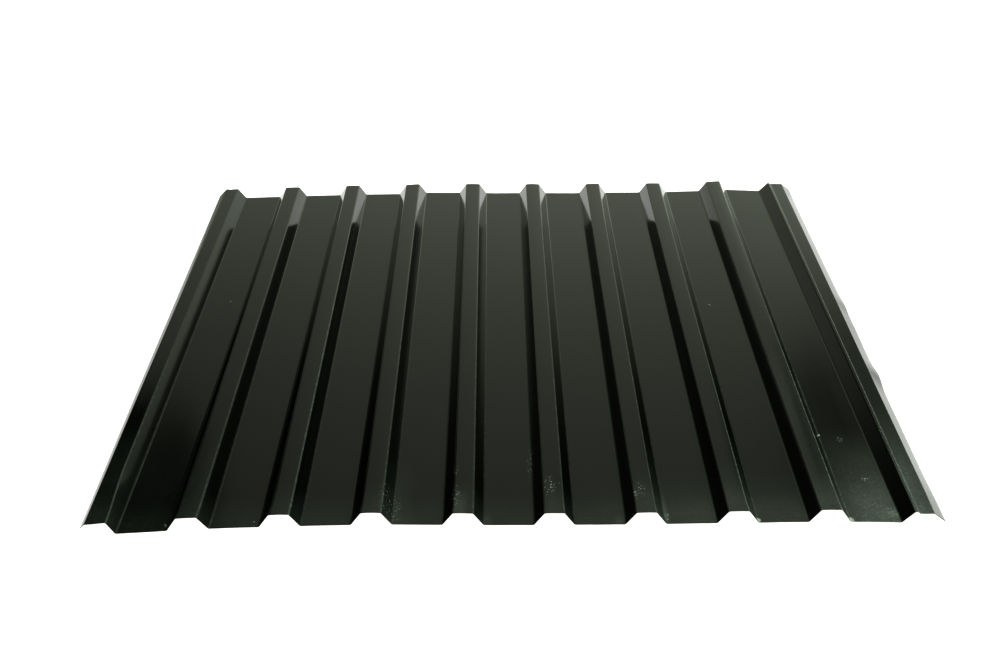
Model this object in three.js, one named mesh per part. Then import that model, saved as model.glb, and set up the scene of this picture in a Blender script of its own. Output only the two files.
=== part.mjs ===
// A trapezoidal roofing and cladding sheet: thin coated steel, roll-formed into box ribs.
// Millimetres, +X across the ribs, +Y along them, +Z up. The pans lie on Z = 0.
// The left edge rib ends in a short lip and laps over a neighbour's right edge rib, which is
// lower, has a drainage groove beside its web and ends in a longer free leg.

import * as THREE from 'three';

// Sheet
const sheetLength = 1000;
const sheetThickness = 0.5;
const insideBendRadius = 1.5;

// Ribs and the flat pans between them
const ribCount = 10;
const ribPitch = 122.2;
const ribHeight = 20;
const crestWidth = 26.6;
const webRun = 14.3;

// Lip that hangs from the left edge rib
const lipRun = 4.6;
const lipDrop = 6.5;

// Right edge rib, which goes under the next sheet
const underlapHeight = 18.6;
const underlapWebRun = 15.3;
const landWidth = 3.5;
const grooveRun = 2.4;
const grooveDepth = 1.6;
const underlapCrestWidth = 22;
const legRun = 15;
const legDrop = 14.7;

// Mesh fineness: an arc has twice this many facets
const arcDivisions = 3;
// Share of a flat that one bend may take up
const longestTangentShare = 0.45;

const coating = new THREE.MeshStandardMaterial({
  name: 'coated_steel',
  color: 0x2b2d29,
  roughness: 0.35,
  metalness: 0.1,
});

// Corners of the sheet's middle line, where the flats would meet without their bends.
function sectionCorners() {
  const corners = [];
  const panLevel = sheetThickness / 2;
  const crestLevel = panLevel + ribHeight;
  const firstRib = -ribPitch * (ribCount - 1) / 2;
  const at = (x, z) => corners.push(new THREE.Vector2(x, z));

  for (let rib = 0; rib < ribCount - 1; rib++) {
    const centre = firstRib + rib * ribPitch;
    const crestStart = centre - crestWidth / 2;
    const crestEnd = centre + crestWidth / 2;
    if (rib === 0) {
      at(crestStart - lipRun, crestLevel - lipDrop);
    } else {
      at(crestStart - webRun, panLevel);
    }
    at(crestStart, crestLevel);
    at(crestEnd, crestLevel);
    at(crestEnd + webRun, panLevel);
  }

  const foot = -firstRib - crestWidth / 2 - webRun;
  const landStart = foot + underlapWebRun;
  const landLevel = panLevel + underlapHeight;
  const grooveStart = landStart + landWidth;
  const crestStart = grooveStart + grooveRun;
  const crestEnd = crestStart + underlapCrestWidth;
  at(foot, panLevel);
  at(landStart, landLevel);
  at(grooveStart, landLevel);
  at(crestStart, landLevel - grooveDepth);
  at(crestEnd, landLevel - grooveDepth);
  at(crestEnd + legRun, landLevel - grooveDepth - legDrop);
  return corners;
}

// The arc that replaces one corner of the middle line. A positive turn is to the left.
function bendAt(before, corner, after) {
  const incoming = corner.clone().sub(before);
  const outgoing = after.clone().sub(corner);
  const shortestFlat = Math.min(incoming.length(), outgoing.length());
  const turn = Math.atan2(incoming.cross(outgoing), incoming.dot(outgoing));
  const spread = Math.tan(Math.abs(turn) / 2);
  const radius = Math.min(
    insideBendRadius + sheetThickness / 2,
    longestTangentShare * shortestFlat / spread,
  );
  incoming.normalize();
  const inward = new THREE.Vector2(-incoming.y, incoming.x).multiplyScalar(Math.sign(turn) * radius);
  const centre = corner.clone().addScaledVector(incoming, -radius * spread).add(inward);
  const startAngle = Math.atan2(-inward.y, -inward.x);
  return { centre, radius, turn, startAngle, endAngle: startAngle + turn };
}

// Adds one bend to the outline, on the face that lies offset to the left of the middle line.
function addBend(outline, bend, offset, backwards) {
  const { centre, radius, turn, startAngle, endAngle } = bend;
  const faceRadius = radius - Math.sign(turn) * offset;
  if (backwards) {
    outline.absarc(centre.x, centre.y, faceRadius, endAngle, startAngle, turn > 0);
  } else {
    outline.absarc(centre.x, centre.y, faceRadius, startAngle, endAngle, turn < 0);
  }
}

// The two corners of a cut edge: the end of the middle line moved to the sheet's two faces.
function cutEdge(end, neighbour, leftwards) {
  const along = end.clone().sub(neighbour).normalize();
  const across = new THREE.Vector2(-along.y, along.x).multiplyScalar(leftwards * sheetThickness / 2);
  return { upper: end.clone().add(across), lower: end.clone().sub(across) };
}

// Closed outline of the sheet's section: along the upper face and back along the lower one.
function sheetSection() {
  const corners = sectionCorners();
  const bends = corners.slice(1, -1).map((corner, i) => bendAt(corners[i], corner, corners[i + 2]));
  const left = cutEdge(corners[0], corners[1], -1);
  const right = cutEdge(corners.at(-1), corners.at(-2), 1);

  const outline = new THREE.Shape();
  outline.moveTo(left.lower.x, left.lower.y);
  outline.lineTo(left.upper.x, left.upper.y);
  bends.forEach((bend) => addBend(outline, bend, sheetThickness / 2, false));
  outline.lineTo(right.upper.x, right.upper.y);
  outline.lineTo(right.lower.x, right.lower.y);
  bends.reverse().forEach((bend) => addBend(outline, bend, -sheetThickness / 2, true));
  outline.closePath();
  return outline;
}

function buildSheet() {
  const geometry = new THREE.ExtrudeGeometry(sheetSection(), {
    depth: sheetLength,
    steps: 1,
    curveSegments: arcDivisions,
    bevelEnabled: false,
  });
  // The section is drawn in X and Y, so the extrusion is turned to lie along Y.
  geometry.rotateX(Math.PI / 2);
  geometry.computeBoundingBox();
  const middle = geometry.boundingBox.getCenter(new THREE.Vector3());
  const sheet = new THREE.Mesh(geometry, coating);
  sheet.name = 'profiled_sheet';
  sheet.position.set(-middle.x, -middle.y, 0);
  return sheet;
}

const group = new THREE.Group();
group.name = 'trapezoidal_sheet';
group.add(buildSheet());

export default group;
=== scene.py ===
import math

import bmesh
import bpy
from mathutils import Matrix, Vector, noise


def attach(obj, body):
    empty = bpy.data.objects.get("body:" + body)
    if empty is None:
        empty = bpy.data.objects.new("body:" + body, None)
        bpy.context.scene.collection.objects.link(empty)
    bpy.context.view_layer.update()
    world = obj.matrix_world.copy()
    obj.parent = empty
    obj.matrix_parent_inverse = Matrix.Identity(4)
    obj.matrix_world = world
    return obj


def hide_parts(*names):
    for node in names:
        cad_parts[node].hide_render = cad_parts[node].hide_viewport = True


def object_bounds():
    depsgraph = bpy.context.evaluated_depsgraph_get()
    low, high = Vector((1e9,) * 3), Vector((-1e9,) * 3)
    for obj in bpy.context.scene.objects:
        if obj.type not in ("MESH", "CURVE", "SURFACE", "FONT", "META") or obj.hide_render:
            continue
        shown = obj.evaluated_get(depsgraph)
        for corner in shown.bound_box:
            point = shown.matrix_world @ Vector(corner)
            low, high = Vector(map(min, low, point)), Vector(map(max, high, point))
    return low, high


mm = 0.001


def sizeText(low, high):
    return " x ".join(str(round((end - start) / mm, 1)) for start, end in zip(low, high)) + " mm"


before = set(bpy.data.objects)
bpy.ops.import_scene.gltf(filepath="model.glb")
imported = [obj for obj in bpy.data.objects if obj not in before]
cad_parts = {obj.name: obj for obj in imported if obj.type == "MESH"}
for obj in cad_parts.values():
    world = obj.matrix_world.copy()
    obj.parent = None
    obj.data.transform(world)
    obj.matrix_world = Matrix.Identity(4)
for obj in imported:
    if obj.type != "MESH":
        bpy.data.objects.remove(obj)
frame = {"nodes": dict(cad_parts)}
cadLow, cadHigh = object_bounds()
print("frame loaded:", ", ".join(frame["nodes"]), sizeText(cadLow, cadHigh))


# Small helpers for node trees
def addNode(tree, kind, **settings):
    node = tree.nodes.new(kind)
    for name, value in settings.items():
        setattr(node, name, value)
    return node


def setInputs(node, **values):
    # Socket names have spaces, keyword names don't: baseColor means "Base Color".
    for name, value in values.items():
        spaced = "".join(" " + letter if letter.isupper() else letter for letter in name)
        node.inputs[spaced.title()].default_value = value


def feed(tree, socket, value):
    # A socket takes the output of another node or a plain value.
    if isinstance(value, bpy.types.NodeSocket):
        tree.links.new(value, socket)
    elif value is not None:
        socket.default_value = value


def mathNode(tree, operation, first, second=None, clamp=False):
    node = addNode(tree, "ShaderNodeMath", operation=operation, use_clamp=clamp)
    feed(tree, node.inputs[0], first)
    feed(tree, node.inputs[1], second)
    return node.outputs[0]


def plus(tree, first, second, clamp=False):
    return mathNode(tree, "ADD", first, second, clamp)


def times(tree, first, second):
    return mathNode(tree, "MULTIPLY", first, second)


def vectorNode(tree, operation, first, second=None):
    node = addNode(tree, "ShaderNodeVectorMath", operation=operation)
    feed(tree, node.inputs[0], first)
    feed(tree, node.inputs[1], second)
    return node.outputs


def splitVector(tree, vector):
    node = addNode(tree, "ShaderNodeSeparateXYZ")
    tree.links.new(vector, node.inputs[0])
    return node.outputs


def softStep(tree, value, start, end):
    # 0 before start and 1 after end, with a smooth rise between them. It falls where end comes first.
    step = addNode(tree, "ShaderNodeMapRange", interpolation_type="SMOOTHSTEP")
    tree.links.new(value, step.inputs["Value"])
    falls = start > end
    setInputs(step, fromMin=min(start, end), fromMax=max(start, end))
    setInputs(step, toMin=float(falls), toMax=float(not falls))
    return step.outputs[0]


def windowMask(tree, value, start, end, softness):
    rise = softStep(tree, value, start - softness, start + softness)
    fall = softStep(tree, value, end + softness, end - softness)
    return times(tree, rise, fall)


def levels(tree, share, low, high):
    # The low level where the share is 0, and the high one where it is 1.
    return plus(tree, times(tree, share, high - low), low)


def newGroup(name, inputs, output="Mask"):
    group = bpy.data.node_groups.new(name, "ShaderNodeTree")
    for socket, kind in inputs.items():
        group.interface.new_socket(socket, in_out="INPUT", socket_type="NodeSocket" + kind)
    group.interface.new_socket(output, in_out="OUTPUT", socket_type="NodeSocketFloat")
    inside = addNode(group, "NodeGroupInput").outputs
    result = addNode(group, "NodeGroupOutput").inputs[0]
    return group, inside, result


def mixShaders(tree, share, first, second, outputKind):
    mix = addNode(tree, "ShaderNodeMixShader")
    tree.links.new(share, mix.inputs["Fac"])
    tree.links.new(first.outputs[0], mix.inputs[1])
    tree.links.new(second.outputs[0], mix.inputs[2])
    output = addNode(tree, outputKind)
    tree.links.new(mix.outputs[0], output.inputs["Surface"])


def meshObject(name, bm, materials):
    mesh = bpy.data.meshes.new(name)
    bm.to_mesh(mesh)
    bm.free()
    for material in materials:
        mesh.materials.append(material)
    made = bpy.data.objects.new(name, mesh)
    bpy.context.scene.collection.objects.link(made)
    return made


# Camera
viewpoint = {
    "place": (-10.8 * mm, -1698.4 * mm, 1070.2 * mm),
    "lookDown": 32.625,      # degrees below the horizon
    "turn": -0.125,
    "roll": 0.89,
    "lens": 42.84,
    "sensorWidth": 36,
    "nearest": 0.05,
    "farthest": 50,
}


def buildCamera(settings):
    camera = bpy.data.objects.new("camera", bpy.data.cameras.new("camera"))
    bpy.context.scene.collection.objects.link(camera)
    camera.data.lens = settings["lens"]
    camera.data.sensor_width = settings["sensorWidth"]
    camera.data.clip_start = settings["nearest"]
    camera.data.clip_end = settings["farthest"]
    turn = Matrix.Rotation(math.radians(-settings["turn"]), 4, "Z")
    tilt = Matrix.Rotation(math.radians(90 - settings["lookDown"]), 4, "X")
    roll = Matrix.Rotation(math.radians(-settings["roll"]), 4, "Z")
    camera.matrix_world = Matrix.Translation(settings["place"]) @ turn @ tilt @ roll
    bpy.context.scene.camera = camera
    print("camera placed")


# Studio: a white floor, a bright backdrop behind the sheet, dim soft panels and one softbox
studio = {
    "floorSize": 14,
    "floorGap": 0.5 * mm,
    "floorGlow": 0.60,
    "floorColour": (0.8, 0.8, 0.79, 1),
    "floorRoughness": 0.9,
    "floorSpecular": 0.1,
    "white": (1, 1, 1, 1),
    "skyTint": (0.93, 1.0, 0.84, 1),
    "roomLevel": 0.004,
    "backdrop": {
        # factors of a polynomial in the height, which is the Z of a unit direction
        "strength": (1.818, -2.941, 1.606),
        "rightEdge": (0.832, -1.677, 1.485),
        "leftEdge": (0.710, -1.085, 0.597),
        "rightSoftness": (0.055, 0.552),
        "leftSoftness": (0.600, -1.269),
        "leastSoftness": 0.05,
        # middle and softness of a wide fade to the side
        "rightFade": (0.499, 1.183),
        "leftFade": (0.367, 1.055),
        # the Y of a direction where it starts and is full
        "depth": (-0.5, 0.35),
    },
    "panels": {
        # azimuth and elevation of the middle in degrees, half widths as sines, strength
        "spot": (19.0, 17.5, 0.067, 0.121, 1.24),
        "glow": (10, 24, 0.15, 0.09, 0.09),
        "gap": (19.0, 34.8, 0.031, 0.042, -0.28),
        "sideGlow": (-35.8, 6.3, 0.096, 0.078, 0.45),
        "front": (180, 28, 0.80, 0.40, 0.80),
        "left": (90, 22, 0.33, 0.40, 0.50),
        "right": (-90, 22, 0.33, 0.40, 0.50),
        "overhead": (180, 80, 0.30, 0.30, 0.30),
    },
    # a panel is only on its own side of the room, apart from one straight overhead
    "panelDepth": (-0.35, 0.15),
    "softboxPlace": (2.2, 0.3, 2.6),
    "softboxSize": 1.6,
    "softboxPower": 60,
    "contrast": "High Contrast",
}


def softPanelGroup(depth):
    # How bright a soft panel of light looks in one direction.
    group, inside, result = newGroup("softPanel", {
        "Direction": "Vector", "Azimuth": "Float", "Elevation": "Float",
        "Half Width": "Float", "Half Height": "Float", "Strength": "Float",
    }, output="Light")
    turned = addNode(group, "ShaderNodeVectorRotate", rotation_type="Z_AXIS")
    group.links.new(inside["Direction"], turned.inputs["Vector"])
    group.links.new(mathNode(group, "RADIANS", inside["Azimuth"]), turned.inputs["Angle"])
    split = splitVector(group, turned.outputs[0])
    height = mathNode(group, "SINE", mathNode(group, "RADIANS", inside["Elevation"]))
    sideways = mathNode(group, "DIVIDE", split["X"], inside["Half Width"])
    upward = mathNode(group, "SUBTRACT", split["Z"], height)
    upward = mathNode(group, "DIVIDE", upward, inside["Half Height"])
    spread = plus(group, mathNode(group, "POWER", sideways, 2), mathNode(group, "POWER", upward, 2))
    falloff = mathNode(group, "POWER", math.e, times(group, spread, -1))
    lit = times(group, falloff, softStep(group, split["Y"], *depth))
    group.links.new(times(group, lit, inside["Strength"]), result)
    return group


def polynomial(tree, value, factors):
    total = factors[-1]
    for factor in reversed(factors[:-1]):
        total = plus(tree, times(tree, value, total), factor)
    return total


def backdropLight(tree, split, backdrop):
    # A wall of light behind the sheet that gets dimmer and narrower upwards, with soft edges.
    height = split["Z"]
    light = mathNode(tree, "MAXIMUM", polynomial(tree, height, backdrop["strength"]), 0)
    for side, name in ((1, "right"), (-1, "left")):
        sideways = times(tree, split["X"], side)
        edge = polynomial(tree, height, backdrop[name + "Edge"])
        softness = polynomial(tree, height, backdrop[name + "Softness"])
        softness = mathNode(tree, "MAXIMUM", softness, backdrop["leastSoftness"])
        inwards = mathNode(tree, "DIVIDE", mathNode(tree, "SUBTRACT", edge, sideways), softness)
        # Half of the soft edge lies on each side of its middle.
        light = times(tree, light, softStep(tree, inwards, -0.5, 0.5))
        middle, width = backdrop[name + "Fade"]
        light = times(tree, light, softStep(tree, sideways, middle + width / 2, middle - width / 2))
    return times(tree, light, softStep(tree, split["Y"], *backdrop["depth"]))


def buildSky(settings):
    world = bpy.data.worlds.new("studioSky")
    bpy.context.scene.world = world
    world.use_nodes = True
    tree = world.node_tree
    tree.nodes.clear()
    direction = addNode(tree, "ShaderNodeTexCoord").outputs["Generated"]
    light = backdropLight(tree, splitVector(tree, direction), settings["backdrop"])
    light = plus(tree, light, settings["roomLevel"])
    group = softPanelGroup(settings["panelDepth"])
    for name, (azimuth, elevation, halfWidth, halfHeight, strength) in settings["panels"].items():
        panel = addNode(tree, "ShaderNodeGroup", node_tree=group, label=name)
        tree.links.new(direction, panel.inputs["Direction"])
        setInputs(panel, azimuth=azimuth, elevation=elevation, strength=strength)
        setInputs(panel, halfWidth=halfWidth, halfHeight=halfHeight)
        light = plus(tree, light, panel.outputs["Light"])
    room = addNode(tree, "ShaderNodeBackground")
    setInputs(room, color=settings["skyTint"])
    tree.links.new(light, room.inputs["Strength"])
    # The backdrop itself is seen plain white.
    plain = addNode(tree, "ShaderNodeBackground")
    setInputs(plain, color=settings["white"])
    seen = addNode(tree, "ShaderNodeLightPath").outputs["Is Camera Ray"]
    mixShaders(tree, seen, room, plain, "ShaderNodeOutputWorld")


def floorMaterial(settings):
    # Seen from below the floor is clear, so that the underside can be looked at.
    material = bpy.data.materials.new("studioFloor")
    material.use_nodes = True
    tree = material.node_tree
    tree.nodes.clear()
    paint = addNode(tree, "ShaderNodeBsdfPrincipled")
    setInputs(paint, baseColor=settings["floorColour"], roughness=settings["floorRoughness"])
    setInputs(paint, emissionColor=settings["white"], emissionStrength=settings["floorGlow"])
    paint.inputs["Specular IOR Level"].default_value = settings["floorSpecular"]
    clear = addNode(tree, "ShaderNodeBsdfTransparent")
    below = addNode(tree, "ShaderNodeNewGeometry").outputs["Backfacing"]
    mixShaders(tree, below, paint, clear, "ShaderNodeOutputMaterial")
    return material


def buildStudio(settings):
    bm = bmesh.new()
    bmesh.ops.create_grid(bm, x_segments=1, y_segments=1, size=settings["floorSize"] / 2)
    bmesh.ops.translate(bm, verts=bm.verts, vec=(0, 0, cadLow.z - settings["floorGap"]))
    floor = meshObject("floor", bm, [floorMaterial(settings)])

    lamp = bpy.data.lights.new("softbox", "AREA")
    lamp.shape = "SQUARE"
    lamp.size = settings["softboxSize"]
    lamp.energy = settings["softboxPower"]
    softbox = bpy.data.objects.new("softbox", lamp)
    bpy.context.scene.collection.objects.link(softbox)
    softbox.location = settings["softboxPlace"]
    softbox.rotation_euler = (-softbox.location).to_track_quat("-Z", "Y").to_euler()
    buildSky(settings)

    view = bpy.context.scene.view_settings
    view.view_transform = "Standard"
    view.look = settings["contrast"]
    print("studio built")


# The sheet
sheetShape = {
    "thickness": 0.5 * mm,
    "ridgeRadius": 2.5 * mm,         # to the middle of the steel
    "footRadius": 3.3 * mm,
    "bendSegments": 5,
    "bendSupport": 1.2 * mm,         # narrow facets beside each bend
    "longestTangentShare": 0.45,     # of the flat beside a bend
    "markedTurn": 10,                # degrees between two facets of a bend that is marked in full
    "ribCount": 10,
    "ribPitch": 122.2 * mm,
    "ribHeight": 20 * mm,
    "crestWidth": 26.6 * mm,
    "webRun": 14.3 * mm,
    "lipRun": 4.6 * mm,
    "lipDrop": 6.5 * mm,
    "underlapHeight": 18.6 * mm,
    "underlapWebRun": 15.3 * mm,
    "landWidth": 3.5 * mm,
    "grooveRun": 2.4 * mm,
    "grooveDepth": 1.6 * mm,
    "underlapCrestWidth": 22 * mm,
    "legRun": 15 * mm,
    "legDrop": 14.7 * mm,
    "undividedFlat": 4.8 * mm,       # a narrower flat stays one facet
    "facetWidth": 9.5 * mm,          # across a flat
    "facetLength": 10.4 * mm,        # along the sheet
    "endFacets": (2 * mm, 3 * mm, 5 * mm),
}

# How the sheet lies, and what has happened to its edges. Rib numbers count from the left, and
# a number between two ribs is a place in the pan between them. Along is 0 at the front edge
# and 1 at the back one, and a fade is how far along something reaches from its edge.
sheetWarp = {
    # from the front to the back edge
    "swell": {
        "lift": 4.4 * mm, "resting": 0.6 * mm, "rib": (3.5, 3.9), "halfWidth": (2.0, 2.3),
        "sharpness": 3,
    },
    "smallSwell": {"lift": 0.7 * mm, "rib": 8.3, "halfWidth": 1.15, "sharpness": 4},
    "panWaves": {"height": 0.13 * mm, "across": 14, "along": 3.5, "seed": 3.7},
    "dishedPans": (
        # rib number of the pan's middle, place along the sheet, reach along it, depth
        (9.5, 0.25, 0.12, 0.5 * mm),
        (1.5, 0.12, 0.14, 0.30 * mm),
    ),
    # of a crest's middle over its two bends, and the rib numbers where it starts and is full
    "crown": {"height": 0.55 * mm, "ribs": (1.6, 3.4), "sharpness": 3},
    "frontDrops": (
        # depth, the rib numbers where it starts and is full, fade
        (2 * mm, (1.12, 0.85), 0.3),            # the left edge rib
        (1.4 * mm, (9.93, 9.97), 0.06),         # the groove in the right one
    ),
    "frontEdge": {
        # rib number, and how far the edge runs out there
        "run": (
            (1, 8.8 * mm), (2, 3.2 * mm), (3, 1.2 * mm), (4, 0), (5, 1.9 * mm), (6, 1.6 * mm),
            (7, 3.0 * mm), (8, 3.6 * mm), (9, 3.3 * mm), (9.5, 5.0 * mm), (10, 7.8 * mm),
        ),
        "fade": 0.15,
    },
    "backEdge": {
        "run": (
            (4, 0), (4.2, 4.5 * mm), (4.8, 2.0 * mm), (5, 0), (7, 0), (8, -3.0 * mm), (8.7, 0),
            (9, 1.0 * mm), (9.2, 5.0 * mm), (9.6, 0.5 * mm), (10, -6.0 * mm),
        ),
        "fade": 0.15,
    },
    "crestNick": {"x": -558 * mm, "depth": 3 * mm, "halfWidth": 3.5 * mm, "fade": 0.015},
    "edgeWaves": {
        "height": 0.3 * mm, "spacing": 12 * mm, "along": 5, "fade": 0.012, "seed": 1.3,
    },
    # which way the lip and the leg have sprung, and how far at places along the sheet
    "lipOutward": (-0.82, 0, 0.58),
    "lipOpening": ((0, -0.9 * mm), (1, 3.0 * mm)),
    "lipCornerCut": {"length": 22 * mm, "reach": 80 * mm},
    "legOutward": (0.7, 0, 0.71),
    "legOpening": (
        (0, 0), (0.09, -1.1 * mm), (0.25, -0.2 * mm), (0.4, 0.7 * mm), (0.47, 2.0 * mm),
        (0.6, 1.6 * mm),
    ),
    "legWaves": {"height": 0.35 * mm, "along": 9, "seed": 7.1},
    "legKinks": (
        # place along the sheet, height and reach
        (0.328, 3.6 * mm, 28 * mm),
        (0.54, 1.5 * mm, 22 * mm),
        (1.0, 1.4 * mm, 40 * mm),
    ),
    "ribMoves": {
        # rib: how far its left foot, left ridge, right ridge and right foot have moved
        2: (2.1 * mm, 2.3 * mm, 2.3 * mm, 1.5 * mm),
        3: (2.7 * mm, 3.0 * mm, 2.1 * mm, 1.0 * mm),
        4: (2.4 * mm, 2.2 * mm, 1.7 * mm, 0.5 * mm),
        5: (1.8 * mm, 1.8 * mm, 1.7 * mm, 0.9 * mm),
        6: (1.3 * mm, 1.0 * mm, -0.1 * mm, -0.8 * mm),
        7: (1.0 * mm, 0.5 * mm, -0.9 * mm, -1.4 * mm),
        8: (0.5 * mm, 0, -0.7 * mm, -0.9 * mm),
        9: (0.3 * mm, -0.2 * mm, -0.1 * mm, -0.5 * mm),
    },
    "ribMoveReach": 12 * mm,         # into the pans beside the rib
    # the share of these moves at the front edge, and how far the right ridge and foot spread there
    "ribMovesAtFront": {"share": 0.4, "fade": 0.02, "spread": (0.7 * mm, 0.3 * mm)},
    "movedBends": (
        # across the sheet: where the shift starts, is full and ends again; then the shift at
        # the front and at the back, and the fade of the front's part
        (-574.3 * mm, -569.7 * mm, -543.1 * mm, 2.9 * mm, 2.9 * mm, 1),
        (-569.7 * mm, -543.1 * mm, -528.8 * mm, 5 * mm, 0, 0.11),
        (537.2 * mm, 559.2 * mm, 574.2 * mm, -2.6 * mm, 0, 1),
    ),
}


def sectionCorners(shape):
    # Where the flats of the sheet's middle line meet, from the left lip to the right leg.
    corners = []
    pan = shape["thickness"] / 2
    crest = pan + shape["ribHeight"]
    halfCrest = shape["crestWidth"] / 2
    firstRib = -shape["ribPitch"] * (shape["ribCount"] - 1) / 2
    for rib in range(shape["ribCount"] - 1):
        centre = firstRib + rib * shape["ribPitch"]
        if rib == 0:
            corners.append((centre - halfCrest - shape["lipRun"], crest - shape["lipDrop"]))
        else:
            corners.append((centre - halfCrest - shape["webRun"], pan))
        corners.append((centre - halfCrest, crest))
        corners.append((centre + halfCrest, crest))
        corners.append((centre + halfCrest + shape["webRun"], pan))
    x = -firstRib - halfCrest - shape["webRun"]
    z = pan
    corners.append((x, z))
    for run, rise in (
        (shape["underlapWebRun"], shape["underlapHeight"]),
        (shape["landWidth"], 0),
        (shape["grooveRun"], -shape["grooveDepth"]),
        (shape["underlapCrestWidth"], 0),
        (shape["legRun"], -shape["legDrop"]),
    ):
        x += run
        z += rise
        corners.append((x, z))
    return corners


def sectionMiddle(shape):
    # The ribs aren't centred on the sheet, because its two edges differ.
    corners = sectionCorners(shape)
    legTurn = math.atan2(shape["legDrop"], shape["legRun"])
    lipTurn = math.atan2(shape["lipDrop"], shape["lipRun"])
    halfSteel = shape["thickness"] / 2
    left = corners[0][0] - halfSteel * math.sin(lipTurn)
    right = corners[-1][0] + halfSteel * math.sin(legTurn)
    return (left + right) / 2


def roundBends(bm, shape):
    # Each corner becomes an arc of the bend radius, or a tighter one between short flats.
    bends = {}
    for vert in bm.verts:
        if len(vert.link_edges) != 2:
            continue
        turn = vert.calc_edge_angle()
        shortest = min(edge.calc_length() for edge in vert.link_edges)
        beside = sum(edge.other_vert(vert).co.z for edge in vert.link_edges) / 2
        radius = shape["footRadius" if beside > vert.co.z else "ridgeRadius"]
        tangent = radius * math.tan(turn / 2)
        tangent = min(tangent, shape["longestTangentShare"] * shortest)
        bends.setdefault(round(tangent / mm, 3), []).append(vert)
    for tangent, verts in bends.items():
        bmesh.ops.bevel(
            bm, geom=verts, offset=tangent * mm, offset_type="OFFSET", affect="VERTICES",
            segments=shape["bendSegments"], profile=0.5, material=-1,
        )


def divideFlats(bm, shape):
    # A narrow facet beside each bend keeps the shading of the flat clean, and wider ones
    # between them let the flat buckle a little.
    for edge in [edge for edge in bm.edges if edge.calc_length() > shape["undividedFlat"]]:
        for vert in [vert for vert in edge.verts if len(vert.link_edges) == 2]:
            share = shape["bendSupport"] / edge.calc_length()
            made, _ = bmesh.utils.edge_split(edge, vert, share)
            edge = max((edge, made), key=lambda part: part.calc_length())
        cuts = int(edge.calc_length() / shape["facetWidth"])
        if cuts:
            bmesh.ops.subdivide_edges(bm, edges=[edge], cuts=cuts)


def markBends(bm, shape):
    # Marks that follow the surface: 1 along the bends that stand out, and along those that face in.
    ridge = bm.verts.layers.float["ridge"]
    foot = bm.verts.layers.float["foot"]
    fullTurn = math.radians(shape["markedTurn"])
    row = sorted(bm.verts, key=lambda vert: vert.co.x)
    for before, vert, after in zip(row, row[1:], row[2:]):
        turn = (vert.co - before.co).cross(after.co - vert.co).y
        vert[ridge if turn > 0 else foot] = min(vert.calc_edge_angle() / fullTurn, 1)


def sheetRows(length, shape):
    # Distances between the rows of facets from the front edge to the back one.
    ends = list(shape["endFacets"])
    middle = length - 2 * sum(ends)
    count = round(middle / shape["facetLength"])
    return ends + [middle / count] * count + ends[::-1]


def gridPlace(part):
    # A number that orders faces or edges by their row, and by their place across the sheet in it.
    rowWeight = 10000
    middle = sum((vert.co for vert in part.verts), Vector()) / len(part.verts)
    return middle.y * rowWeight + middle.x


def sheetMesh(shape):
    # The middle surface of the sheet, made flat and straight.
    bm = bmesh.new()
    for name in ("ridge", "foot"):
        bm.verts.layers.float.new(name)
    corners = [bm.verts.new((x, 0, z)) for x, z in sectionCorners(shape)]
    for before, after in zip(corners, corners[1:]):
        bm.edges.new((before, after))
    roundBends(bm, shape)
    divideFlats(bm, shape)
    markBends(bm, shape)

    length = cadHigh.y - cadLow.y
    section = bm.edges[:]
    for step in sheetRows(length, shape):
        made = bmesh.ops.extrude_edge_only(bm, edges=section)["geom"]
        section = [part for part in made if isinstance(part, bmesh.types.BMEdge)]
        moved = [part for part in made if isinstance(part, bmesh.types.BMVert)]
        bmesh.ops.translate(bm, verts=moved, vec=(0, step, 0))
    bmesh.ops.recalc_face_normals(bm, faces=bm.faces)
    if sum(face.normal.z * face.calc_area() for face in bm.faces) < 0:
        bmesh.ops.reverse_faces(bm, faces=bm.faces)
    bmesh.ops.translate(bm, verts=bm.verts, vec=(-sectionMiddle(shape), -length / 2, 0))
    for face in bm.faces:
        face.smooth = True
    # The extrusion leaves them in an order that changes from run to run.
    bm.faces.sort(key=gridPlace)
    bm.edges.sort(key=gridPlace)
    return bm


def smooth(value, start, end):
    share = min(max((value - start) / (end - start), 0), 1)
    return share * share * (3 - 2 * share)


def hump(distance, halfWidth, sharpness=2):
    return math.exp(-abs(distance / halfWidth) ** sharpness)


def between(value, points):
    # Straight lines between the given points.
    if value <= points[0][0]:
        return points[0][1]
    for (start, low), (end, high) in zip(points, points[1:]):
        if value <= end:
            return low + (high - low) * (value - start) / (end - start)
    return points[-1][1]


def liftAt(rib, along, warp):
    # The sheet rests on its ends and stands a little off the floor between them.
    swell = warp["swell"]
    middle = between(along, tuple(enumerate(swell["rib"])))
    halfWidth = between(along, tuple(enumerate(swell["halfWidth"])))
    rise = swell["lift"] * hump(rib - middle, halfWidth, swell["sharpness"])
    small = warp["smallSwell"]
    smallRise = small["lift"] * hump(rib - small["rib"], small["halfWidth"], small["sharpness"])
    drop = sum(
        depth * smooth(rib, *ribs) * smooth(along, fade, 0)
        for depth, ribs, fade in warp["frontDrops"]
    )
    return max(rise - swell["resting"], 0) + smallRise - drop


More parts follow.
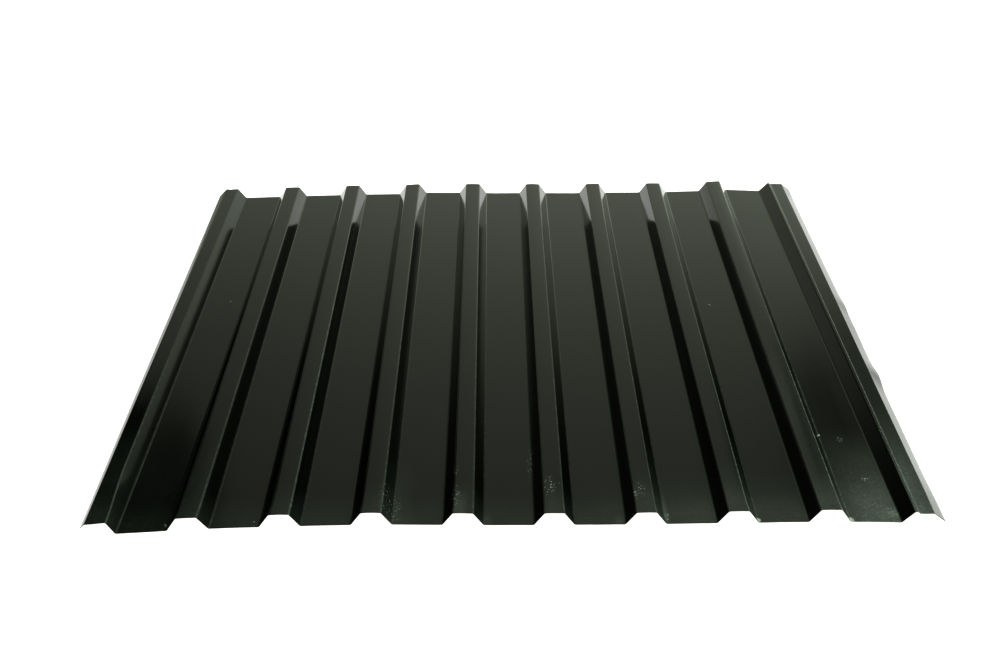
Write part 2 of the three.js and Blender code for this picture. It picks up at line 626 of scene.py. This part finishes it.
def buckleAt(x, y, rib, along, shape, warp):
    # The pans are wavy and dished a little, and the crests slightly crowned.
    buckle = 0
    halfPan = 0.5 - (shape["crestWidth"] / 2 + shape["webRun"]) / shape["ribPitch"]
    acrossPan = (rib % 1 - 0.5) / halfPan
    if 1 < rib < shape["ribCount"] and abs(acrossPan) < 1:
        waves = warp["panWaves"]
        wave = noise.noise((x * waves["across"], y * waves["along"], waves["seed"]))
        buckle += waves["height"] * wave * (1 - acrossPan ** 2)
        for pan, place, reach, depth in warp["dishedPans"]:
            if abs(rib - pan) < halfPan:
                buckle -= depth * (1 - acrossPan ** 2) * hump(along - place, reach)

    fromRib = (rib - round(rib)) * shape["ribPitch"]
    acrossCrest = abs(fromRib) / (shape["crestWidth"] / 2)
    beforeLastRib = rib < shape["ribCount"] - 0.5
    if acrossCrest < 1 and beforeLastRib:
        crown = warp["crown"]
        height = crown["height"] * smooth(rib, *crown["ribs"])
        buckle += height * (1 - acrossCrest ** crown["sharpness"])
    return buckle


def bendMoveAt(x, rib, along, shape, warp):
    # Some bends have moved across the sheet.
    moved = 0
    ribMoves = warp["ribMoves"].get(round(rib))
    if ribMoves:
        halfCrest = shape["crestWidth"] / 2
        halfBase = halfCrest + shape["webRun"]
        end = halfBase + warp["ribMoveReach"]
        places = (-end, -halfBase, -halfCrest, halfCrest, halfBase, end)
        fromRib = (rib - round(rib)) * shape["ribPitch"]
        atFront = warp["ribMovesAtFront"]
        nearFront = smooth(along, atFront["fade"], 0)
        share = 1 - (1 - atFront["share"]) * nearFront
        spread = (0, 0, 0) + atFront["spread"] + (0,)
        moved += share * between(fromRib, tuple(zip(places, (0,) + ribMoves + (0,))))
        moved += nearFront * between(fromRib, tuple(zip(places, spread)))
    for start, full, end, front, back, fade in warp["movedBends"]:
        if start < x < end:
            size = back + (front - back) * smooth(along, fade, 0)
            moved += size * between(x, ((start, 0), (full, 1), (end, 0)))
    return moved


def freeEdgeShift(x, y, along, shape, warp):
    # The lip and the leg have sprung and been knocked.
    shift = Vector((0, 0, 0))
    length = cadHigh.y - cadLow.y
    lip = min(max((cadLow.x + shape["lipRun"] - x) / shape["lipRun"], 0), 1)
    if lip > 0:
        shift += lip * between(along, warp["lipOpening"]) * Vector(warp["lipOutward"])
        corner = warp["lipCornerCut"]
        shift.y -= corner["length"] * lip * smooth((1 - along) * length, corner["reach"], 0)
    leg = min(max((x - cadHigh.x + shape["legRun"]) / shape["legRun"], 0), 1)
    if leg > 0:
        waves = warp["legWaves"]
        outward = between(along, warp["legOpening"])
        outward += waves["height"] * noise.noise((waves["seed"], y * waves["along"], 0))
        for place, height, reach in warp["legKinks"]:
            outward += height * hump((along - place) * length, reach)
        shift += leg * outward * Vector(warp["legOutward"])
    return shift


def cutEdgeShift(x, rib, along, warp):
    # The two cut edges aren't quite straight, and have small waves and a nick.
    front = warp["frontEdge"]
    back = warp["backEdge"]
    run = between(rib, back["run"]) * smooth(along, 1 - back["fade"], 1)
    run -= between(rib, front["run"]) * smooth(along, front["fade"], 0)
    nick = warp["crestNick"]
    run -= nick["depth"] * smooth(along, 1 - nick["fade"], 1) * hump(x - nick["x"], nick["halfWidth"])
    waves = warp["edgeWaves"]
    atEdge = smooth(abs(along - 0.5), 0.5 - waves["fade"], 0.5)
    wave = noise.noise((x / waves["spacing"], along * waves["along"], waves["seed"]))
    return Vector((0, run, waves["height"] * atEdge * wave))


def warpSheet(bm, shape, warp):
    middle = sectionMiddle(shape)
    length = cadHigh.y - cadLow.y
    for vert in bm.verts:
        x, y = vert.co.xy
        along = y / length + 0.5
        rib = (x + middle) / shape["ribPitch"] + (shape["ribCount"] + 1) / 2
        shift = freeEdgeShift(x, y, along, shape, warp) + cutEdgeShift(x, rib, along, warp)
        shift.x += bendMoveAt(x, rib, along, shape, warp)
        shift.z += liftAt(rib, along, warp) + buckleAt(x, y, rib, along, shape, warp)
        vert.co += shift


# Node groups that the sheet's finishes share
def streaksGroup():
    # Long faint lines along the sheet, as its rollers leave them.
    stretch = (1, 0.02, 1)
    group, inside, result = newGroup("rollingStreaks", {
        "Position": "Vector", "Lines Per Metre": "Float",
    })
    stretched = vectorNode(group, "MULTIPLY", inside["Position"], stretch)[0]
    streaks = addNode(group, "ShaderNodeTexNoise", noise_dimensions="3D")
    group.links.new(stretched, streaks.inputs["Vector"])
    group.links.new(inside["Lines Per Metre"], streaks.inputs["Scale"])
    setInputs(streaks, detail=4, roughness=0.6)
    group.links.new(streaks.outputs["Fac"], result)
    return group


def specksGroup():
    # Small round specks: one in some of the cells that the surface is divided into.
    smallest = 0.35
    softness = 0.6
    group, inside, result = newGroup("dustSpecks", {
        "Position": "Vector", "Cells Per Metre": "Float", "Share": "Float", "Size": "Float",
    })
    cells = addNode(group, "ShaderNodeTexVoronoi", feature="F1")
    group.links.new(inside["Position"], cells.inputs["Vector"])
    group.links.new(inside["Cells Per Metre"], cells.inputs["Scale"])
    chance = addNode(group, "ShaderNodeSeparateColor")
    group.links.new(cells.outputs["Color"], chance.inputs[0])
    chosen = mathNode(group, "LESS_THAN", chance.outputs["Red"], inside["Share"])
    size = times(group, inside["Size"], plus(group, chance.outputs["Green"], smallest))
    distance = mathNode(group, "DIVIDE", cells.outputs["Distance"], size)
    speck = softStep(group, mathNode(group, "SUBTRACT", 1, distance), 0, softness)
    group.links.new(times(group, speck, chosen), result)
    return group


def cloudsGroup():
    # Uneven patches between two levels of a noise.
    group, inside, result = newGroup("dustClouds", {
        "Position": "Vector", "Scale": "Float", "Detail": "Float", "Low": "Float", "High": "Float",
    })
    warped = addNode(group, "ShaderNodeTexNoise")
    group.links.new(inside["Position"], warped.inputs["Vector"])
    group.links.new(inside["Scale"], warped.inputs["Scale"])
    group.links.new(inside["Detail"], warped.inputs["Detail"])
    setInputs(warped, roughness=0.6, distortion=0.3)
    step = addNode(group, "ShaderNodeMapRange", interpolation_type="SMOOTHSTEP")
    group.links.new(warped.outputs["Fac"], step.inputs["Value"])
    group.links.new(inside["Low"], step.inputs["From Min"])
    group.links.new(inside["High"], step.inputs["From Max"])
    group.links.new(step.outputs[0], result)
    return group


def patchGroup():
    # A soft-edged round patch: 1 in its middle and 0 outside its half size.
    plainShare = 0.3
    group, inside, result = newGroup("softPatch", {
        "Position": "Vector", "Centre": "Vector", "Half Size": "Vector",
    })
    offset = vectorNode(group, "SUBTRACT", inside["Position"], inside["Centre"])[0]
    scaled = vectorNode(group, "DIVIDE", offset, inside["Half Size"])[0]
    distance = vectorNode(group, "LENGTH", scaled)["Value"]
    group.links.new(softStep(group, distance, 1, plainShare), result)
    return group


def placeGroup(tree, group, position, **values):
    node = addNode(tree, "ShaderNodeGroup", node_tree=group)
    tree.links.new(position, node.inputs["Position"])
    setInputs(node, **values)
    return node.outputs[0]


def mixColour(tree, share, first, second):
    node = addNode(tree, "ShaderNodeMix", data_type="RGBA")
    tree.links.new(share, node.inputs["Factor"])
    feed(tree, node.inputs[6], first)
    feed(tree, node.inputs[7], second)
    return node.outputs[2]


def addBump(tree, shader, height, distance):
    bump = addNode(tree, "ShaderNodeBump")
    setInputs(bump, distance=distance, strength=1)
    tree.links.new(height, bump.inputs["Height"])
    tree.links.new(bump.outputs["Normal"], shader.inputs["Normal"])


def newMaterial(name):
    material = bpy.data.materials.new(name)
    material.use_nodes = True
    tree = material.node_tree
    shader = tree.nodes["Principled BSDF"]
    position = addNode(tree, "ShaderNodeTexCoord").outputs["Object"]
    return material, tree, shader, position


# The dark coat on the upper face. Dust shares are how much of the coat the dust hides.
coatFinish = {
    "colour": (0.0034, 0.0046, 0.0033, 1),
    # the dust's colour, which the painted highlights and painted sheen on the bends also take
    "dustAndSheenColour": (0.355, 0.43, 0.365, 1),
    "roughness": (0.08, 0.13),           # between the rolling streaks
    "dustAndSheenRoughness": 0.75,
    "streaksPerMetre": 60,
    "streakHeight": 0.02 * mm,
    "peelHeight": 0.004 * mm,
    "peelScale": 420,
    "films": (
        # where it is thin and thick along the sheet, its edges and their softness, and its share
        (-440 * mm, -500 * mm, -640 * mm, -420 * mm, 30 * mm, 0.030),
        (-430 * mm, -500 * mm, -420 * mm, 530 * mm, 30 * mm, 0.042),
        (-380 * mm, -495 * mm, 155 * mm, 560 * mm, 105 * mm, 0.046),
        (-300 * mm, -500 * mm, 462 * mm, 540 * mm, 45 * mm, 0.135),
        (-230 * mm, -440 * mm, 533 * mm, 640 * mm, 10 * mm, 0.098),
        (-280 * mm, -420 * mm, -640 * mm, -435 * mm, 35 * mm, 0.020),
        (-240 * mm, -400 * mm, -640 * mm, -535 * mm, 10 * mm, 0.025),
        (-480 * mm, -200 * mm, -545 * mm, -529 * mm, 4 * mm, 0.022),
        # the second crest, and the crests beside the last pan
        (-340 * mm, -440 * mm, -449 * mm, -419 * mm, 3 * mm, 0.026),
        (-100 * mm, -260 * mm, 407 * mm, 434 * mm, 3 * mm, 0.030),
        (-40 * mm, -220 * mm, 533 * mm, 562 * mm, 4 * mm, 0.020),
        (-280 * mm, -380 * mm, 449 * mm, 516 * mm, 6 * mm, 0.024),
        # webs that look to the right
        (-300 * mm, -430 * mm, 190 * mm, 205 * mm, 3 * mm, 0.034),
        (-300 * mm, -430 * mm, 312 * mm, 327 * mm, 3 * mm, 0.040),
        (-130 * mm, -220 * mm, 436 * mm, 450 * mm, 3 * mm, 0.045),
        # smears at the front
        (-350 * mm, -440 * mm, -176 * mm, -140 * mm, 14 * mm, 0.026),
        (-440 * mm, -490 * mm, -82 * mm, -64 * mm, 7 * mm, 0.070),
        (-450 * mm, -490 * mm, 46 * mm, 60 * mm, 8 * mm, 0.030),
        (-470 * mm, -498 * mm, -42 * mm, -30 * mm, 6 * mm, 0.050),
        (-478 * mm, -500 * mm, 137 * mm, 149 * mm, 4 * mm, 0.050),
        (-430 * mm, -485 * mm, 203 * mm, 208 * mm, 2 * mm, 0.080),
    ),
    # painted lit side: a web that looks to the left, away from the softbox, has almost no film: weight
    # of its slope, and where the film is full
    "litSideSlope": 0.75,
    "litSideFull": 0.8,
    # the even, cloudy and fine parts of a film
    "filmParts": (0.72, 0.22, 0.34),
    "clouds": {"scale": 26, "detail": 1, "low": 0.2, "high": 0.8},
    "fineClouds": {"scale": 190, "detail": 3, "low": 0.25, "high": 0.80},
    "specks": {"cellsPerMetre": 48, "share": 0.07, "size": 0.032},
    "speckDust": 0.60,
    "chips": (
        # centre, half width and half length
        (327 * mm, -499 * mm, 5 * mm, 5 * mm),
        (450 * mm, -501 * mm, 6 * mm, 8 * mm),
        (450 * mm, -316 * mm, 2 * mm, 3 * mm),
    ),
    "chipHeight": (2 * mm, 9 * mm),      # its middle and half of it
    "grit": {"cellsPerMetre": 330, "share": 0.80, "size": 0.40},
    "scuffHaze": 0.07,
    "scuffs": (
        # centre, half width, half length and share
        (-466 * mm, -497 * mm, 6 * mm, 11 * mm, 0.80),
        (-345 * mm, -495 * mm, 8 * mm, 9 * mm, 0.90),
        (-172 * mm, -467 * mm, 12 * mm, 44 * mm, 0.40),
        (-160 * mm, -470 * mm, 12 * mm, 50 * mm, 0.30),
        (-77 * mm, -412 * mm, 5 * mm, 14 * mm, 0.60),
        (-77 * mm, -464 * mm, 10 * mm, 30 * mm, 0.60),
        (51 * mm, -446 * mm, 11 * mm, 30 * mm, 0.75),
        (27 * mm, -374 * mm, 7 * mm, 55 * mm, 0.45),
        (174 * mm, -454 * mm, 9 * mm, 24 * mm, 0.50),
        (166 * mm, -464 * mm, 3 * mm, 15 * mm, 0.90),
        (207 * mm, -490 * mm, 6 * mm, 18 * mm, 0.60),
        (478 * mm, -326 * mm, 6 * mm, 10 * mm, 0.75),
        (491 * mm, -416 * mm, 8 * mm, 12 * mm, 0.70),
        (509 * mm, -486 * mm, 10 * mm, 16 * mm, 0.75),
        (480 * mm, -440 * mm, 60 * mm, 80 * mm, 0.07),
        (534 * mm, -330 * mm, 5 * mm, 150 * mm, 0.18),
        (545 * mm, -400 * mm, 20 * mm, 80 * mm, 0.05),
        (-485 * mm, 89 * mm, 4 * mm, 5 * mm, 0.80),
        (348 * mm, 55 * mm, 4 * mm, 5 * mm, 0.80),
    ),
    "scuffHeight": (10 * mm, 40 * mm),   # its middle and half of it
    # painted highlights: light lines along the bends that face right, with dots of real wear on them
    "bendHighlightsAndWear": (
        # left and right ends, where the marks are least and most, and the shares of painted highlight
        # line and worn dots
        (-600 * mm, 600 * mm, 500 * mm, -400 * mm, 0.10, 0.05),
        (-310 * mm, -287 * mm, 500 * mm, 0, 0.05, 0.03),
        (308 * mm, 331 * mm, 100 * mm, -400 * mm, 0.05, 0.03),
        (428 * mm, 454 * mm, 400 * mm, -250 * mm, 0.07, 0.08),
        (529 * mm, 541 * mm, 300 * mm, -350 * mm, 0.11, 0.16),
    ),
    "footHighlightsAndWear": 0.5,
    "wornDots": {"scale": 130, "detail": 1, "low": 0.50, "high": 0.62},
    "leftBendSheen": (
        # painted sheen on bends that face left, carrying the pans' reflection round the bend: left and
        # right ends, its shares on the ridges and at the feet
        (-190 * mm, 10 * mm, 0, 0.08),
        (20 * mm, 460 * mm, 0.08, 0.08),
        (500 * mm, 526 * mm, 0, 0.08),
    ),
    "bendEndSoftness": 3 * mm,
    "bendSlope": (0.03, 0.3),            # where a bend starts to face a side, and faces it in full
}


def patchAt(tree, position, groups, x, y, halfWidth, halfLength, heights):
    middle, halfHeight = heights
    return placeGroup(
        tree, groups["patch"], position, centre=(x, y, middle),
        halfSize=(halfWidth, halfLength, halfHeight),
    )


def litSideFilmDust(tree, place, facing, finish):
    # Films of dust, mostly towards the front edge, kept off the faces that look to the left: a painted
    # lit side.
    film = 0
    for thin, thick, left, right, softness, share in finish["films"]:
        part = softStep(tree, place["Y"], thin, thick)
        part = times(tree, part, windowMask(tree, place["X"], left, right, softness))
        film = plus(tree, film, times(tree, part, share))
    # The film shows only on faces that look up and to the right, towards the softbox: painted lit side.
    litSideFacing = plus(tree, times(tree, facing["X"], finish["litSideSlope"]), facing["Z"])
    return times(tree, film, softStep(tree, litSideFacing, 0, finish["litSideFull"]))


def scuffDust(tree, position, groups, fine, finish):
    # Scuffs are clusters of grit in soft patches.
    scuffed = 0
    for x, y, halfWidth, halfLength, share in finish["scuffs"]:
        patch = patchAt(tree, position, groups, x, y, halfWidth, halfLength, finish["scuffHeight"])
        scuffed = mathNode(tree, "MAXIMUM", scuffed, times(tree, patch, share))
    grit = placeGroup(tree, groups["specks"], position, **finish["grit"])
    return times(tree, scuffed, plus(tree, grit, times(tree, fine, finish["scuffHaze"])))


def bendSheenAndWear(tree, position, groups, place, facing, finish):
    # Painted highlight lines with worn dots on the bends that face right, and painted sheen on some
    # that face left.
    start, full = finish["bendSlope"]
    softness = finish["bendEndSoftness"]
    ridges = addNode(tree, "ShaderNodeAttribute", attribute_name="ridge").outputs["Fac"]
    feet = addNode(tree, "ShaderNodeAttribute", attribute_name="foot").outputs["Fac"]
    dots = placeGroup(tree, groups["clouds"], position, **finish["wornDots"])
    lines = 0
    for left, right, least, most, highlightLine, dotted in finish["bendHighlightsAndWear"]:
        window = windowMask(tree, place["X"], left, right, softness)
        window = times(tree, window, softStep(tree, place["Y"], least, most))
        highlightAndWear = plus(tree, times(tree, dots, dotted), highlightLine)
        lines = plus(tree, lines, times(tree, window, highlightAndWear))
    bends = mathNode(tree, "MAXIMUM", ridges, times(tree, feet, finish["footHighlightsAndWear"]))
    # Only the bends that face right, towards the softbox, get the painted highlight lines.
    lines = times(tree, times(tree, lines, bends), softStep(tree, facing["X"], start, full))
    # Painted sheen on some bends that face left, in the pale dust colour.
    for left, right, ridgeShare, footShare in finish["leftBendSheen"]:
        sheen = mathNode(tree, "MAXIMUM", times(tree, ridges, ridgeShare), times(tree, feet, footShare))
        sheen = times(tree, sheen, softStep(tree, facing["X"], -start, -full))
        sheen = times(tree, sheen, windowMask(tree, place["X"], left, right, softness))
        lines = plus(tree, lines, sheen)
    return lines


def coatDustAndSheen(tree, position, groups, finish):
    place = splitVector(tree, position)
    facing = splitVector(tree, addNode(tree, "ShaderNodeTexCoord").outputs["Normal"])
    clouds = placeGroup(tree, groups["clouds"], position, **finish["clouds"])
    fine = placeGroup(tree, groups["clouds"], position, **finish["fineClouds"])
    even, cloudy, grainy = finish["filmParts"]
    uneven = plus(tree, times(tree, clouds, cloudy), times(tree, fine, grainy))
    dustAndSheen = times(tree, litSideFilmDust(tree, place, facing, finish), plus(tree, uneven, even))
    dustAndSheen = plus(tree, dustAndSheen, scuffDust(tree, position, groups, fine, finish))
    for x, y, halfWidth, halfLength in finish["chips"]:
        chip = patchAt(tree, position, groups, x, y, halfWidth, halfLength, finish["chipHeight"])
        dustAndSheen = mathNode(tree, "MAXIMUM", dustAndSheen, chip)
    specks = placeGroup(tree, groups["specks"], position, **finish["specks"])
    dustAndSheen = plus(tree, dustAndSheen, times(tree, specks, finish["speckDust"]))
    return plus(tree, dustAndSheen, bendSheenAndWear(tree, position, groups, place, facing, finish), clamp=True)


def coatMaterial(groups, finish):
    material, tree, shader, position = newMaterial("darkCoat")
    # The mask holds the dust together with the painted highlights and painted sheen on the bends.
    dustAndSheen = coatDustAndSheen(tree, position, groups, finish)
    colour = mixColour(tree, dustAndSheen, finish["colour"], finish["dustAndSheenColour"])
    tree.links.new(colour, shader.inputs["Base Color"])

    streaks = placeGroup(tree, groups["streaks"], position, linesPerMetre=finish["streaksPerMetre"])
    polish = levels(tree, streaks, *finish["roughness"])
    dulled = times(tree, dustAndSheen, finish["dustAndSheenRoughness"])
    tree.links.new(plus(tree, polish, dulled, clamp=True), shader.inputs["Roughness"])

    peel = addNode(tree, "ShaderNodeTexNoise")
    tree.links.new(position, peel.inputs["Vector"])
    setInputs(peel, scale=finish["peelScale"], detail=2)
    peelShare = finish["peelHeight"] / finish["streakHeight"]
    relief = plus(tree, streaks, times(tree, peel.outputs["Fac"], peelShare))
    addBump(tree, shader, relief, finish["streakHeight"])
    return material


# The pale backing coat underneath
backFinish = {
    "colour": (0.36, 0.37, 0.34, 1),
    "dirtColour": (0.17, 0.16, 0.13, 1),
    "roughness": (0.42, 0.60),
    "streaksPerMetre": 45,
    "streakDirt": 0.35,
    "streakHeight": 0.03 * mm,
    "clouds": {"scale": 9, "detail": 4, "low": 0.35, "high": 0.75},
    "specks": {"cellsPerMetre": 30, "share": 0.12, "size": 0.05},
    "speckDirt": 0.5,
}


def backMaterial(groups, finish):
    material, tree, shader, position = newMaterial("backingCoat")
    streaks = placeGroup(tree, groups["streaks"], position, linesPerMetre=finish["streaksPerMetre"])
    clouds = placeGroup(tree, groups["clouds"], position, **finish["clouds"])
    specks = placeGroup(tree, groups["specks"], position, **finish["specks"])
    dirt = times(tree, times(tree, streaks, clouds), finish["streakDirt"])
    dirt = plus(tree, dirt, times(tree, specks, finish["speckDirt"]), clamp=True)
    colour = mixColour(tree, dirt, finish["colour"], finish["dirtColour"])
    tree.links.new(colour, shader.inputs["Base Color"])
    tree.links.new(levels(tree, streaks, *finish["roughness"]), shader.inputs["Roughness"])
    addBump(tree, shader, streaks, finish["streakHeight"])
    return material


# The cut edges, where the steel and its zinc show
cutFinish = {
    "steelColour": (0.20, 0.195, 0.17, 1),
    "stainColour": (0.085, 0.062, 0.035, 1),
    "roughness": (0.35, 0.7),
    "stain": {"scale": 70, "detail": 4, "low": 0.35, "high": 0.65},
    "marksPerMetre": 500,
    "markHeight": 0.03 * mm,
}


def cutMaterial(groups, finish):
    material, tree, shader, position = newMaterial("cutEdge")
    stain = placeGroup(tree, groups["clouds"], position, **finish["stain"])
    marks = placeGroup(tree, groups["streaks"], position, linesPerMetre=finish["marksPerMetre"])
    colour = mixColour(tree, stain, finish["steelColour"], finish["stainColour"])
    tree.links.new(colour, shader.inputs["Base Color"])
    tree.links.new(levels(tree, stain, *finish["roughness"]), shader.inputs["Roughness"])
    bare = mathNode(tree, "SUBTRACT", 1, stain, clamp=True)
    tree.links.new(bare, shader.inputs["Metallic"])
    addBump(tree, shader, marks, finish["markHeight"])
    return material


def sheetMaterials():
    groups = {
        "streaks": streaksGroup(),
        "specks": specksGroup(),
        "clouds": cloudsGroup(),
        "patch": patchGroup(),
    }
    materials = [
        coatMaterial(groups, coatFinish),
        backMaterial(groups, backFinish),
        cutMaterial(groups, cutFinish),
    ]
    print("materials made:", ", ".join(material.name for material in materials))
    return materials


def buildSheet(shape, warp):
    bm = sheetMesh(shape)
    warpSheet(bm, shape, warp)
    sheet = meshObject("corrugated_sheet", bm, sheetMaterials())
    wall = sheet.modifiers.new("steelThickness", "SOLIDIFY")
    wall.thickness = shape["thickness"]
    wall.offset = 0
    wall.use_even_offset = True
    # the second and third materials are the backing coat and the cut edge
    wall.material_offset = 1
    wall.material_offset_rim = 2
    shading = sheet.modifiers.new("flatShading", "WEIGHTED_NORMAL")
    shading.keep_sharp = True
    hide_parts("profiled_sheet")
    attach(sheet, "root")
    print("sheet built:", len(sheet.data.polygons), "faces on its middle surface")


buildCamera(viewpoint)
buildStudio(studio)
buildSheet(sheetShape, sheetWarp)
